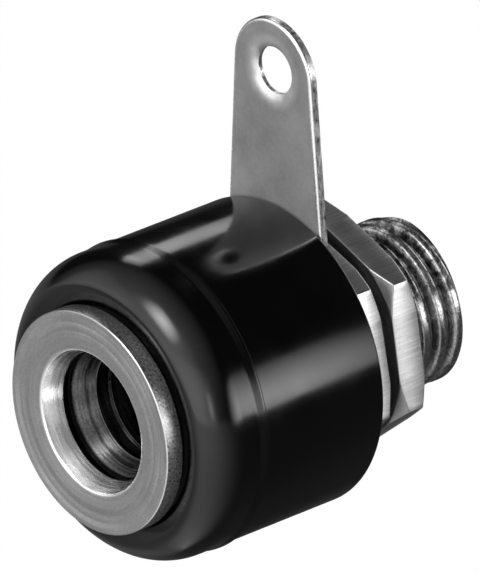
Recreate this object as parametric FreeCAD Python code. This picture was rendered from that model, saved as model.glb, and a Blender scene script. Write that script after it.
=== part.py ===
"""Insulated 4 mm banana socket for a panel: turned sleeve, collar, bush, solder lug, two nuts.

Millimetres. The axis of the socket lies along Y. The plug enters from -Y, the threaded
shank points to +Y, and the tab of the solder lug stands up along +Z. The origin is on the
axis, at the plane where the collar meets the panel.
"""
import FreeCAD
import Part
import math
import os

# Sleeve: one turned piece with a round head, a plug bore and a threaded shank.
# The widths are radial steps outwards from the plug bore.
PLUG_BORE_RADIUS = 2.0
BORE_LEAD_LENGTH = 0.42
BORE_EXIT_BREAK = 0.15
RELIEF_UNDERCUT = 0.44
RELIEF_LENGTH = 0.36
MOUTH_STEP = 0.30
MOUTH_FLARE = 0.27
MOUTH_DEPTH = 0.88
LEAD_FLARE = 0.50
LEAD_DEPTH = 0.12
SHANK_WALL = 1.0
SHANK_END_BREAK = 0.13
SHANK_LENGTH = 13.9
HEAD_OVERHANG = 1.0
HEAD_HEIGHT = 0.72
HEAD_EDGE_BREAK = 0.10

# Front collar: black moulding between the head and the panel.
COLLAR_LENGTH = 2.50
COLLAR_SIDE_STEP = 0.01
COLLAR_LIP_FLARE = 0.06
COLLAR_CROWN_RADIUS = 1.86
COLLAR_BLEND_RADIUS = 0.45
COLLAR_CROWN_SINK = 0.32
SPIGOT_LENGTH = 1.80
SPIGOT_WALL = 0.85

# Rear bush: black moulding behind the panel.
BUSH_WALL = 1.55
BUSH_LENGTH = 5.26
BUSH_REAR_ROUND = 0.15
JOINT_EDGE_BREAK = 0.12

# Solder lug: stamped sheet with a ring round the shank and a tapered tab.
LUG_THICKNESS = 0.34
LUG_RING_RIM = 0.50
LUG_TAB_HALF_WIDTH = 2.69
LUG_TAB_TAPER = 0.071
LUG_TIP_CENTRE = 10.49
LUG_TIP_RISE = 1.82
LUG_NECK_ROUND = 0.80
WIRE_HOLE_RADIUS = 0.85
WIRE_HOLE_HEIGHT = 10.41
LUG_EDGE_ROUND = 0.08

# Thin hexagon nuts.
NUT_WALL = 0.95
NUT_THICKNESS = 1.15
NUT_FACE_OVERLAP = 0.15
NUT_CHAMFER_DEG = 30.0
NUT_HOLE_BREAK = 0.20
NUT_SPACING = 0.43
FRONT_NUT_TURN_DEG = 41.0
REAR_NUT_TURN_DEG = 39.0

# Clearances between pieces.
SEAT_GAP = 0.02
RUNNING_GAP = 0.05

# Places along the axis that follow from the sizes above.
HEAD_BACK_Y = -COLLAR_LENGTH
HEAD_FRONT_Y = HEAD_BACK_Y - HEAD_HEIGHT
SHANK_END_Y = HEAD_BACK_Y + SHANK_LENGTH
BUSH_FRONT_Y = SEAT_GAP
BUSH_BACK_Y = BUSH_FRONT_Y + BUSH_LENGTH
LUG_FRONT_Y = BUSH_BACK_Y + SEAT_GAP
LUG_BACK_Y = LUG_FRONT_Y + LUG_THICKNESS
FRONT_NUT_Y = LUG_BACK_Y + SEAT_GAP
REAR_NUT_Y = FRONT_NUT_Y + NUT_THICKNESS + NUT_SPACING

# Radii that follow from the plug bore outwards.
RELIEF_RADIUS = PLUG_BORE_RADIUS + RELIEF_UNDERCUT
MOUTH_END_RADIUS = PLUG_BORE_RADIUS + MOUTH_STEP
MOUTH_RADIUS = MOUTH_END_RADIUS + MOUTH_FLARE
LEAD_RADIUS = MOUTH_RADIUS + LEAD_FLARE
THREAD_RADIUS = PLUG_BORE_RADIUS + SHANK_WALL
HEAD_RADIUS = THREAD_RADIUS + HEAD_OVERHANG
FIT_RADIUS = THREAD_RADIUS + RUNNING_GAP
SPIGOT_RADIUS = FIT_RADIUS + SPIGOT_WALL
POCKET_RADIUS = SPIGOT_RADIUS + RUNNING_GAP
BUSH_RADIUS = POCKET_RADIUS + BUSH_WALL
COLLAR_RADIUS = BUSH_RADIUS + COLLAR_SIDE_STEP
COLLAR_LIP_RADIUS = COLLAR_RADIUS + COLLAR_LIP_FLARE
NUT_FLAT_RADIUS = FIT_RADIUS + NUT_WALL
NUT_FACE_RADIUS = NUT_FLAT_RADIUS + NUT_FACE_OVERLAP
LUG_RING_RADIUS = NUT_FLAT_RADIUS + LUG_RING_RIM


def line(start, end):
    """Return a straight edge in the section plane, from (radius, y) to (radius, y)."""
    return Part.makeLine(FreeCAD.Vector(start[0], start[1], 0), FreeCAD.Vector(end[0], end[1], 0))


def arc(centre, radius, first_deg, last_deg):
    """Return an arc edge in the section plane; angles are measured from +radius to +y."""
    middle = (first_deg + last_deg) / 2
    points = []
    for angle in (first_deg, middle, last_deg):
        turn = math.radians(angle)
        x = centre[0] + radius * math.cos(turn)
        y = centre[1] + radius * math.sin(turn)
        points.append(FreeCAD.Vector(x, y, 0))
    return Part.Arc(points[0], points[1], points[2]).toShape()


def polyline(points):
    """Return the straight edges that join the points in order."""
    return [line(start, end) for start, end in zip(points, points[1:])]


def revolve(edges):
    """Turn a closed section of edges once round the socket's axis."""
    wire = Part.Wire(Part.__sortEdges__(edges))
    face = Part.Face(wire)
    return face.revolve(FreeCAD.Vector(0, 0, 0), FreeCAD.Vector(0, 1, 0), 360)


def turned(points):
    """Turn a closed section with straight sides once round the socket's axis."""
    return revolve(polyline(points + points[:1]))


def disc(radius, low_y, high_y):
    """Return a plain round bar along the axis."""
    foot = FreeCAD.Vector(0, low_y, 0)
    return Part.makeCylinder(radius, high_y - low_y, foot, FreeCAD.Vector(0, 1, 0))


def sleeve():
    """Turned sleeve: head with its lead-in, mouth cone and relief groove, then the shank."""
    mouth_end_y = HEAD_FRONT_Y + MOUTH_DEPTH
    relief_end_y = mouth_end_y + RELIEF_LENGTH
    bore_start_y = relief_end_y + BORE_LEAD_LENGTH
    inside = [
        (LEAD_RADIUS, HEAD_FRONT_Y),
        (MOUTH_RADIUS, HEAD_FRONT_Y + LEAD_DEPTH),
        (MOUTH_END_RADIUS, mouth_end_y),
        (RELIEF_RADIUS, mouth_end_y),
        (RELIEF_RADIUS, relief_end_y),
        (PLUG_BORE_RADIUS, bore_start_y),
        (PLUG_BORE_RADIUS, SHANK_END_Y - BORE_EXIT_BREAK),
        (PLUG_BORE_RADIUS + BORE_EXIT_BREAK, SHANK_END_Y),
    ]
    outside = [
        (THREAD_RADIUS - SHANK_END_BREAK, SHANK_END_Y),
        (THREAD_RADIUS, SHANK_END_Y - SHANK_END_BREAK),
        (THREAD_RADIUS, HEAD_BACK_Y),
        (HEAD_RADIUS, HEAD_BACK_Y),
        (HEAD_RADIUS, HEAD_FRONT_Y + HEAD_EDGE_BREAK),
        (HEAD_RADIUS - HEAD_EDGE_BREAK, HEAD_FRONT_Y),
    ]
    return turned(inside + outside)


def collar_crown():
    """Front of the collar's section: a flat face, a small blend and the large rounded edge.

    The large arc ends square to the side. The blend touches the flat face and the large arc.
    """
    crown_x = COLLAR_RADIUS - COLLAR_CROWN_RADIUS
    crown_y = HEAD_BACK_Y - COLLAR_CROWN_SINK + COLLAR_CROWN_RADIUS
    reach = COLLAR_CROWN_RADIUS - COLLAR_BLEND_RADIUS
    blend_y = HEAD_BACK_Y + COLLAR_BLEND_RADIUS
    blend_x = crown_x + math.sqrt(reach ** 2 - (crown_y - blend_y) ** 2)
    meet_deg = math.degrees(math.atan2(blend_y - crown_y, blend_x - crown_x))
    blend = arc((blend_x, blend_y), COLLAR_BLEND_RADIUS, -90, meet_deg)
    crown = arc((crown_x, crown_y), COLLAR_CROWN_RADIUS, meet_deg, 0)
    return (blend_x, HEAD_BACK_Y), [blend, crown], (COLLAR_RADIUS, crown_y)


def collar():
    """Collar with its bore on the shank and the spigot that fills the panel hole."""
    face_end, crown, side_start = collar_crown()
    side = [
        side_start,
        (COLLAR_LIP_RADIUS, -JOINT_EDGE_BREAK),
        (COLLAR_LIP_RADIUS - JOINT_EDGE_BREAK, 0),
        (SPIGOT_RADIUS, 0),
        (SPIGOT_RADIUS, SPIGOT_LENGTH - JOINT_EDGE_BREAK),
        (SPIGOT_RADIUS - JOINT_EDGE_BREAK, SPIGOT_LENGTH),
        (FIT_RADIUS, SPIGOT_LENGTH),
        (FIT_RADIUS, HEAD_BACK_Y),
        face_end,
    ]
    return revolve(crown + polyline(side))


def bush():
    """Bush with a counterbore for the spigot and a bore on the shank."""
    pocket_end_y = SPIGOT_LENGTH + SEAT_GAP + JOINT_EDGE_BREAK
    corner = (BUSH_RADIUS - BUSH_REAR_ROUND, BUSH_BACK_Y - BUSH_REAR_ROUND)
    section = [
        (corner[0], BUSH_BACK_Y),
        (FIT_RADIUS, BUSH_BACK_Y),
        (FIT_RADIUS, pocket_end_y),
        (POCKET_RADIUS, pocket_end_y),
        (POCKET_RADIUS, BUSH_FRONT_Y),
        (BUSH_RADIUS - JOINT_EDGE_BREAK, BUSH_FRONT_Y),
        (BUSH_RADIUS, BUSH_FRONT_Y + JOINT_EDGE_BREAK),
        (BUSH_RADIUS, corner[1]),
    ]
    return revolve(polyline(section) + [arc(corner, BUSH_REAR_ROUND, 0, 90)])


def tab_half_width(height):
    """Return half the tab's width at a height above the axis."""
    return LUG_TAB_HALF_WIDTH - LUG_TAB_TAPER * height


def at(x, z):
    """Return a point on the front face of the lug."""
    return FreeCAD.Vector(x, LUG_FRONT_Y, z)


def lug_tab():
    """Tapered tab with its rounded tip, as a plate that starts at the axis."""
    foot = tab_half_width(0)
    tip = tab_half_width(LUG_TIP_CENTRE)
    top = at(0, LUG_TIP_CENTRE + LUG_TIP_RISE)
    edges = [
        Part.makeLine(at(-foot, 0), at(foot, 0)),
        Part.makeLine(at(foot, 0), at(tip, LUG_TIP_CENTRE)),
        Part.Arc(at(tip, LUG_TIP_CENTRE), top, at(-tip, LUG_TIP_CENTRE)).toShape(),
        Part.makeLine(at(-tip, LUG_TIP_CENTRE), at(-foot, 0)),
    ]
    return Part.Face(Part.Wire(edges)).extrude(FreeCAD.Vector(0, LUG_THICKNESS, 0))


def neck_edges(plate):
    """Return the two upright edges where the tab's sides leave the ring."""
    found = []
    for edge in plate.Edges:
        ends = [vertex.Point for vertex in edge.Vertexes]
        upright = len(ends) == 2 and abs(abs(ends[0].y - ends[1].y) - LUG_THICKNESS) < 1e-6
        on_ring = abs(math.hypot(ends[0].x, ends[0].z) - LUG_RING_RADIUS) < 1e-3
        if upright and on_ring and ends[0].z > 0:
            found.append(edge)
    return found


def punch_side_edges(plate):
    """Return the edges of the front face, where the stamping tool rolled the sheet's edge over."""
    face = min(plate.Faces, key=lambda item: item.CenterOfMass.y)
    return face.Edges


def lug():
    """Stamped lug: ring and tab with rounded necks, the shank hole and the wire hole."""
    ring = disc(LUG_RING_RADIUS, LUG_FRONT_Y, LUG_BACK_Y)
    plate = ring.fuse(lug_tab()).removeSplitter()
    plate = plate.makeFillet(LUG_NECK_ROUND, neck_edges(plate))
    plate = plate.cut(disc(FIT_RADIUS, LUG_FRONT_Y, LUG_BACK_Y))
    foot = FreeCAD.Vector(0, LUG_FRONT_Y, WIRE_HOLE_HEIGHT)
    wire_hole = Part.makeCylinder(WIRE_HOLE_RADIUS, LUG_THICKNESS, foot, FreeCAD.Vector(0, 1, 0))
    plate = plate.cut(wire_hole)
    return plate.makeFillet(LUG_EDGE_ROUND, punch_side_edges(plate))


def hexagon(low_y, turn_deg):
    """Return a hexagon bar of the nut's thickness, with one corner at turn_deg above +X."""
    corner_radius = NUT_FLAT_RADIUS * 2 / math.sqrt(3)
    corners = []
    for index in range(7):
        angle = math.radians(turn_deg + 60 * index)
        x = corner_radius * math.cos(angle)
        z = corner_radius * math.sin(angle)
        corners.append(FreeCAD.Vector(x, low_y, z))
    return Part.Face(Part.makePolygon(corners)).extrude(FreeCAD.Vector(0, NUT_THICKNESS, 0))


def nut(low_y, turn_deg):
    """Thin nut: hexagon trimmed by a chamfered round on both faces, with its chamfered hole."""
    high_y = low_y + NUT_THICKNESS
    reach = 2 * NUT_FLAT_RADIUS
    drop = (reach - NUT_FACE_RADIUS) * math.tan(math.radians(NUT_CHAMFER_DEG))
    middle_y = (low_y + high_y) / 2
    round_blank = turned([
        (0, low_y),
        (NUT_FACE_RADIUS, low_y),
        (reach, low_y + drop),
        (reach, middle_y + drop),
        (0, middle_y + drop),
    ])
    back_blank = round_blank.mirror(FreeCAD.Vector(0, middle_y, 0), FreeCAD.Vector(0, 1, 0))
    body = hexagon(low_y, turn_deg).common(round_blank).common(back_blank)
    hole = turned([
        (0, low_y),
        (FIT_RADIUS + NUT_HOLE_BREAK, low_y),
        (FIT_RADIUS, low_y + NUT_HOLE_BREAK),
        (FIT_RADIUS, high_y - NUT_HOLE_BREAK),
        (FIT_RADIUS + NUT_HOLE_BREAK, high_y),
        (0, high_y),
    ])
    return body.cut(hole)


def main():
    """Build every piece and write one file for each."""
    os.makedirs("parts", exist_ok=True)
    pieces = {
        "socket_sleeve": sleeve(),
        "front_collar": collar(),
        "rear_bush": bush(),
        "solder_lug": lug(),
        "front_nut": nut(FRONT_NUT_Y, FRONT_NUT_TURN_DEG),
        "rear_nut": nut(REAR_NUT_Y, REAR_NUT_TURN_DEG),
    }
    for name, shape in pieces.items():
        shape.exportStep(f"parts/{name}.step")
        box = shape.BoundBox
        print(name, len(shape.Solids), shape.isValid(), round(shape.Volume, 3),
              [round(v, 3) for v in (box.XMin, box.YMin, box.ZMin, box.XMax, box.YMax, box.ZMax)])


main()
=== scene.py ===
"""Looks of an insulated 4 mm banana socket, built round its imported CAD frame.

The socket's axis lies along Y: the plug enters from -Y, the threaded shank points to +Y and
the solder lug stands up along +Z. Sizes in the classes are millimetres, meshes are metres.
"""

import logging
import math
from dataclasses import dataclass, field
from enum import Enum, IntEnum

import bmesh
import bpy
import numpy as np
from mathutils import Matrix, Vector


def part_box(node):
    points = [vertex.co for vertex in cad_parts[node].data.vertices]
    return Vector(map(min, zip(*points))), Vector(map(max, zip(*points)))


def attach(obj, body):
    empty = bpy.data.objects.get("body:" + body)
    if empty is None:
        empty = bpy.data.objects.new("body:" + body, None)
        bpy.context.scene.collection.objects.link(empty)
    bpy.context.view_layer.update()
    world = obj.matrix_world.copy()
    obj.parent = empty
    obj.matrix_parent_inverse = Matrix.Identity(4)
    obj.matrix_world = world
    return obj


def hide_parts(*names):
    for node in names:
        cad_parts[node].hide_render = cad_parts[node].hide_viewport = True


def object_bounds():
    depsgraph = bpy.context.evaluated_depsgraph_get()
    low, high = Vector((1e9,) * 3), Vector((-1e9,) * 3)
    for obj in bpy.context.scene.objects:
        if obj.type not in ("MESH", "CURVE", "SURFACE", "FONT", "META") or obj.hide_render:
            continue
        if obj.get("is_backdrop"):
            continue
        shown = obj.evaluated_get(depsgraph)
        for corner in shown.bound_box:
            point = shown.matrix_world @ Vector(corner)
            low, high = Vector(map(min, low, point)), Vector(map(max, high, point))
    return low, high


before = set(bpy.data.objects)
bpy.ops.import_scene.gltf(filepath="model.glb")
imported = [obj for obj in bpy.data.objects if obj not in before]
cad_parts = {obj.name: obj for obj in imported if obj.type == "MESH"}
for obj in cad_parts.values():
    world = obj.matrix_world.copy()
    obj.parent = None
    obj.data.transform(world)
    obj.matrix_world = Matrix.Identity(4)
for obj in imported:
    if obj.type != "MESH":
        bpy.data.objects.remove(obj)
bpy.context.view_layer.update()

LOG = logging.getLogger("banana_socket")
Socket = bpy.types.NodeSocket
Value = Socket | float | int | tuple

# A millimetre in metres, and how far apart in metres welded points may lie
MM = 0.001
WELD = 2e-7

# Radius of every bore that sits on the shank, and height of the wire hole, in millimetres
FIT_RADIUS = 3.05
WIRE_HOLE_HEIGHT = 10.41

# Where most values of a noise lie, and the slow noise that breaks up turned rings
NOISE_RANGE = (0.3, 0.7)
WANDER_PER_MM = 0.35
WANDER_REACH = 40.0

# Share of the way along the thread from which a row is its last one
LAST_ROW = 0.9999

# Waves round an uneven edge: height, number and shift in radians
EDGE_WAVES = ((0.5, 3, 1.0), (0.3, 5, 2.0), (0.2, 11, 0.0))


# Node trees


class NodeSheet:
    """Adds nodes to one tree and wires each input from a value or from another socket."""

    def __init__(self, tree: bpy.types.NodeTree) -> None:
        """Keep the shader or geometry tree that gets the nodes."""
        self.tree = tree

    def wire(self, target: Socket, value: Value) -> None:
        """Feed an input.

        Args:
            target: The input socket.
            value: A socket to link, or a plain value to set.
        """
        if isinstance(value, Socket):
            self.tree.links.new(value, target)
        else:
            target.default_value = value

    def node(self, kind: str, inputs: dict | None = None, **settings: object) -> bpy.types.Node:
        """Add one node.

        Args:
            kind: The node's type name.
            inputs: Values or sockets by input name or number.
            **settings: Properties of the node itself.

        Returns:
            The new node.
        """
        made = self.tree.nodes.new(kind)
        for name, value in settings.items():
            setattr(made, name, value)
        for key, value in (inputs or {}).items():
            self.wire(made.inputs[key], value)
        return made

    def math(self, operation: str, *values: Value, clamp: bool = False) -> Socket:
        """Return a Math node's result, kept between 0 and 1 where clamp is set."""
        made = self.node("ShaderNodeMath", dict(enumerate(values)), operation=operation, use_clamp=clamp)
        return made.outputs[0]

    def times(self, first: Value, second: Value) -> Socket:
        """Return the product of two values."""
        return self.math("MULTIPLY", first, second)

    def vector(self, operation: str, *values: Value, output: str = "Vector") -> Socket:
        """Return one output of a Vector Math node."""
        made = self.node("ShaderNodeVectorMath", dict(enumerate(values)), operation=operation)
        return made.outputs[output]

    def remap(self, value: Value, source: tuple, target: tuple, smooth: bool = False) -> Socket:
        """Map a value from one range to another and clamp it there.

        Args:
            value: The value to map.
            source: Its low and high ends, numbers or sockets.
            target: The ends of the result, numbers or sockets.
            smooth: Whether the ends are eased.

        Returns:
            The mapped value.
        """
        inputs = {"Value": value, "From Min": source[0], "From Max": source[1],
                  "To Min": target[0], "To Max": target[1]}
        kind = "SMOOTHSTEP" if smooth else "LINEAR"
        return self.node("ShaderNodeMapRange", inputs, interpolation_type=kind).outputs[0]

    def vary(self, noise: Socket, middle: float, spread: float) -> Socket:
        """Return a value that a noise moves up and down round a middle."""
        return self.remap(noise, NOISE_RANGE, (middle - spread, middle + spread))

    def join(self, x: Value, y: Value, z: Value) -> Socket:
        """Return a vector from its three parts."""
        return self.node("ShaderNodeCombineXYZ", {0: x, 1: y, 2: z}).outputs[0]

    def around(self, radius: Socket, along: Socket, angle: Socket) -> Socket:
        """Return the place at a radius and an angle from +Z, round the Y axis."""
        return self.join(self.times(radius, self.math("SINE", angle)), along,
                         self.times(radius, self.math("COSINE", angle)))

    def rays(self) -> tuple[Socket, Socket]:
        """Tell rays apart by where they come from.

        Returns:
            1 for a ray from the camera, and 1 for a ray from a glossy or clear surface.
        """
        path = self.node("ShaderNodeLightPath").outputs
        mirrored = self.math("ADD", path["Is Glossy Ray"], path["Is Transmission Ray"], clamp=True)
        return path["Is Camera Ray"], mirrored


class GeometryTree(NodeSheet):
    """A Geometry Nodes tree with named inputs, run once to give a plain mesh."""

    def __init__(self, name: str) -> None:
        """Start a tree with a Geometry output and a Material input.

        Args:
            name: The tree's name.
        """
        super().__init__(bpy.data.node_groups.new(name, "GeometryNodeTree"))
        self.tree.interface.new_socket("Geometry", in_out="OUTPUT", socket_type="NodeSocketGeometry")
        self.start = self.tree.nodes.new("NodeGroupInput")
        self.material, = self.entries("Material", kind="NodeSocketMaterial")

    def entries(self, *names: str, kind: str = "NodeSocketFloat") -> list[Socket]:
        """Add a named input of a socket type for each name.

        Args:
            *names: The inputs' names.
            kind: Their socket type.

        Returns:
            The sockets to wire from inside the tree.
        """
        for name in names:
            self.tree.interface.new_socket(name, in_out="INPUT", socket_type=kind)
        return [self.start.outputs[name] for name in names]

    def grid(self, columns: Socket, rows: Value) -> tuple[Socket, Socket, Socket]:
        """Start from a flat grid of one by one.

        Args:
            columns: Number of steps along x.
            rows: Number of steps along y.

        Returns:
            The grid, and each point's share of the way along x and along y.
        """
        counts = {"Size X": 1.0, "Size Y": 1.0, "Vertices X": self.math("ADD", columns, 1),
                  "Vertices Y": self.math("ADD", rows, 1)}
        grid = self.node("GeometryNodeMeshGrid", counts).outputs["Mesh"]
        place = self.node("GeometryNodeInputPosition").outputs[0]
        x, y, _ = self.node("ShaderNodeSeparateXYZ", {0: place}).outputs
        return grid, self.math("ADD", x, 0.5), self.math("ADD", y, 0.5)

    def bend(self, grid: Socket, target: Socket) -> None:
        """Move the grid to its places, weld it, and end in Realize Instances and Set Material.

        Args:
            grid: The flat grid.
            target: Each point's place.
        """
        bent = self.node("GeometryNodeSetPosition", {"Geometry": grid, "Position": target}).outputs[0]
        welded = self.node("GeometryNodeMergeByDistance", {"Geometry": bent, "Distance": WELD}).outputs[0]
        real = self.node("GeometryNodeRealizeInstances", {0: welded}).outputs[0]
        dressed = self.node("GeometryNodeSetMaterial", {"Geometry": real, "Material": self.material})
        self.node("NodeGroupOutput", {0: dressed.outputs[0]})

    def mesh(self, name: str, values: dict[str, object]) -> bpy.types.Mesh:
        """Run the tree once.

        Args:
            name: The name of the mesh.
            values: The tree's inputs by name.

        Returns:
            A plain mesh that no longer depends on the tree.
        """
        holder = put(name, bpy.data.meshes.new(name))
        modifier = holder.modifiers.new("Shape", "NODES")
        modifier.node_group = self.tree
        for item in self.tree.interface.items_tree:
            if item.in_out == "INPUT":
                modifier[item.identifier] = values[item.name]
        graph = bpy.context.evaluated_depsgraph_get()
        made = bpy.data.meshes.new_from_object(holder.evaluated_get(graph))
        bpy.data.objects.remove(holder)
        return made


# Mesh helpers


@dataclass
class Section:
    """Section of a turned piece, as (radius, y, zone) points in millimetres.

    A zone is the material slot of the surface that starts at the point.
    """

    zone: int = 0
    corners: list[tuple[float, float, float, int]] = field(default_factory=list)
    arc_steps: int = 6

    def to(self, radius: float, y: float, rounding: float = 0.0, zone: int | None = None) -> None:
        """Go to a corner, rounded or sharp, and from there on in a zone, or else in the last one."""
        self.zone = self.zone if zone is None else zone
        self.corners.append((radius, y, rounding, self.zone))

    def arc(self, centre: tuple[float, float], radius: float, ends: tuple[float, float],
            steps: int) -> None:
        """Go along an arc, between two angles in degrees that count from +radius towards +y."""
        for angle in np.radians(np.linspace(*ends, steps + 1)):
            self.to(centre[0] + radius * math.cos(angle), centre[1] + radius * math.sin(angle))

    def points(self) -> list[tuple[float, float, int]]:
        """Work out the section with each rounded corner as short steps.

        Returns:
            The (radius, y, zone) points in order.
        """
        made = []
        count = len(self.corners)
        for index, (radius, y, rounding, zone) in enumerate(self.corners):
            here = np.array([radius, y])
            if rounding <= 0:
                made.append((radius, y, zone))
                continue
            before = np.array(self.corners[index - 1][:2]) - here
            after = np.array(self.corners[(index + 1) % count][:2]) - here
            before /= np.linalg.norm(before)
            after /= np.linalg.norm(after)
            half = math.acos(float(np.clip(before @ after, -1, 1))) / 2
            middle = (before + after) / np.linalg.norm(before + after)
            centre = here + middle * rounding / math.sin(half)
            start = before * rounding / math.tan(half) - (centre - here)
            end = after * rounding / math.tan(half) - (centre - here)
            sweep = math.pi - 2 * half
            for share in np.linspace(0, 1, self.arc_steps + 1):
                first = math.sin((1 - share) * sweep) / math.sin(sweep)
                last = math.sin(share * sweep) / math.sin(sweep)
                point = centre + first * start + last * end
                made.append((float(point[0]), float(point[1]), zone))
        return made


def add_rows(made: bmesh.types.BMesh, rings: list[list], zones: list[int]) -> None:
    """Close the gap between each ring of points and the next with faces.

    Args:
        made: The mesh to add to.
        rings: Rings of equally many points.
        zones: The material slot of each row; as many zones as rings join the last to the first.
    """
    for row, zone in enumerate(zones):
        near, far = rings[row], rings[(row + 1) % len(rings)]
        for index in range(len(near)):
            following = (index + 1) % len(near)
            face = made.faces.new((near[index], near[following], far[following], far[index]))
            face.material_index = zone


def turn(section: Section, segments: int, closed: bool = True) -> bmesh.types.BMesh:
    """Turn a section once round the Y axis.

    Args:
        section: The section to turn.
        segments: Number of steps round the axis.
        closed: Whether the last point joins the first.

    Returns:
        The turned surface, in metres.
    """
    made = bmesh.new()
    angles = [2 * math.pi * index / segments for index in range(segments)]
    rings, zones = [], []
    for radius, y, zone in section.points():
        reach = radius * MM
        rings.append([made.verts.new((reach * math.sin(a), y * MM, reach * math.cos(a))) for a in angles])
        zones.append(zone)
    add_rows(made, rings, zones if closed else zones[:-1])
    return made


def weld(made: bmesh.types.BMesh) -> None:
    """Join points that lie in one place, and drop what has no length."""
    bmesh.ops.remove_doubles(made, verts=made.verts, dist=WELD)
    bmesh.ops.dissolve_degenerate(made, edges=made.edges, dist=WELD)


def put(name: str, data: bpy.types.ID) -> bpy.types.Object:
    """Put a new object in the scene.

    Args:
        name: The object's name.
        data: Its mesh, light or camera.

    Returns:
        The object, at the origin.
    """
    item = bpy.data.objects.new(name, data)
    bpy.context.scene.collection.objects.link(item)
    return item


def shown(name: str, made: bmesh.types.BMesh, materials: list[bpy.types.Material],
          sharp_deg: float = 32.0) -> bpy.types.Object:
    """Weld a shape, point its faces outwards and put it in the scene.

    Args:
        name: The object's name.
        made: The shape; it is freed here.
        materials: One material for each zone.
        sharp_deg: Edges with a larger angle stay sharp in the shading.

    Returns:
        The new object, at the origin.
    """
    weld(made)
    bmesh.ops.recalc_face_normals(made, faces=made.faces)
    mesh = bpy.data.meshes.new(name)
    made.to_mesh(mesh)
    made.free()
    for material in materials:
        mesh.materials.append(material)
    mesh.shade_smooth()
    mesh.set_sharp_from_angle(angle=math.radians(sharp_deg))
    return put(name, mesh)


def box_mm(node: str) -> tuple[Vector, Vector]:
    """Return a CAD node's lowest and highest corner in millimetres."""
    low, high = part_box(node)
    return low / MM, high / MM


def bearing(azimuth_deg: float, elevation_deg: float = 0.0) -> Vector:
    """Point to a side, counted from the plug's side (-Y) towards +X.

    Args:
        azimuth_deg: The turn round the upright.
        elevation_deg: The height above the horizon.

    Returns:
        A unit vector.
    """
    azimuth, elevation = math.radians(azimuth_deg), math.radians(elevation_deg)
    return Vector((math.sin(azimuth) * math.cos(elevation), -math.cos(azimuth) * math.cos(elevation),
                   math.sin(elevation)))


# Finishes


class Grain(Enum):
    """Which way the marks on a surface run."""

    RINGS = "round the socket's axis"
    ALONG = "along the socket's axis"
    UPRIGHT = "up the lug"
    SPECKLE = "no way at all"


class ShaderSheet(NodeSheet):
    """A material's node tree, with the place on the piece in millimetres."""

    def __init__(self, name: str) -> None:
        """Make the material and read the place on the piece.

        Args:
            name: The material's name.
        """
        self.material = bpy.data.materials.new(name)
        self.material.use_nodes = True
        super().__init__(self.material.node_tree)
        self.tree.nodes.clear()
        place = self.node("ShaderNodeTexCoord").outputs["Object"]
        self.place = self.vector("MULTIPLY", place, (1 / MM, 1 / MM, 1 / MM))
        self.x, self.y, self.z = self.node("ShaderNodeSeparateXYZ", {0: self.place}).outputs

    def radius(self, height: float = 0.0) -> Socket:
        """Return the distance in millimetres from the socket's axis, or from a line above it."""
        rise = self.math("SUBTRACT", self.z, height)
        return self.math("SQRT", self.math("ADD", self.times(self.x, self.x), self.times(rise, rise)))

    def noise(self, vector: Socket, scale: float, detail: float = 2.0, rough: float = 0.5) -> Socket:
        """Return a noise between 0 and 1, with so many cells a unit and so many finer layers."""
        inputs = {"Vector": vector, "Scale": scale, "Detail": detail, "Roughness": rough}
        return self.node("ShaderNodeTexNoise", inputs).outputs[0]

    def grey(self, value: Value) -> Socket:
        """Return a grey colour from one value."""
        return self.node("ShaderNodeCombineColor", {0: value, 1: value, 2: value}).outputs[0]

    def grained(self, grain: Grain, stretch: float) -> Socket:
        """Return coordinates in which noise runs as the grain does.

        Args:
            grain: The way of the marks.
            stretch: How many times longer than wide a mark is.

        Returns:
            A vector in millimetres, squeezed along the marks.
        """
        short = 1 / stretch
        if grain is Grain.RINGS:
            wander = self.times(self.noise(self.place, WANDER_PER_MM), WANDER_REACH * short)
            return self.join(self.radius(), self.y, wander)
        if grain is Grain.ALONG:
            return self.join(self.x, self.times(self.y, short), self.z)
        if grain is Grain.UPRIGHT:
            return self.join(self.x, self.y, self.times(self.z, short))
        return self.place

    def along(self, grain: Grain) -> Socket:
        """Return the direction of the marks in the world, for the shader's tangent.

        Args:
            grain: The way of the marks.

        Returns:
            A unit vector.
        """
        if grain is Grain.RINGS:
            way = self.vector("NORMALIZE", self.vector("CROSS_PRODUCT", (0, 1, 0), self.place))
        else:
            way = self.join(0.0, 0.0, 1.0) if grain is Grain.UPRIGHT else self.join(0.0, 1.0, 0.0)
        settings = {"vector_type": "VECTOR", "convert_from": "OBJECT", "convert_to": "WORLD"}
        return self.node("ShaderNodeVectorTransform", {0: way}, **settings).outputs[0]

    def bump(self, height: Socket, depth_mm: float, normal: Socket | None = None) -> Socket:
        """Return a normal for fine relief.

        Args:
            height: Relief between 0 and 1.
            depth_mm: The relief's full depth.
            normal: A coarser normal under it.

        Returns:
            The bumped normal.
        """
        inputs = {"Height": height, "Distance": depth_mm * MM, "Strength": 1.0}
        if normal is not None:
            inputs["Normal"] = normal
        return self.node("ShaderNodeBump", inputs).outputs[0]

    def close(self, inputs: dict) -> bpy.types.Material:
        """End in a Principled BSDF.

        Args:
            inputs: The shader's values and sockets by name.

        Returns:
            The finished material.
        """
        shader = self.node("ShaderNodeBsdfPrincipled", inputs)
        self.node("ShaderNodeOutputMaterial", {0: shader.outputs[0]})
        return self.material


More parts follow.
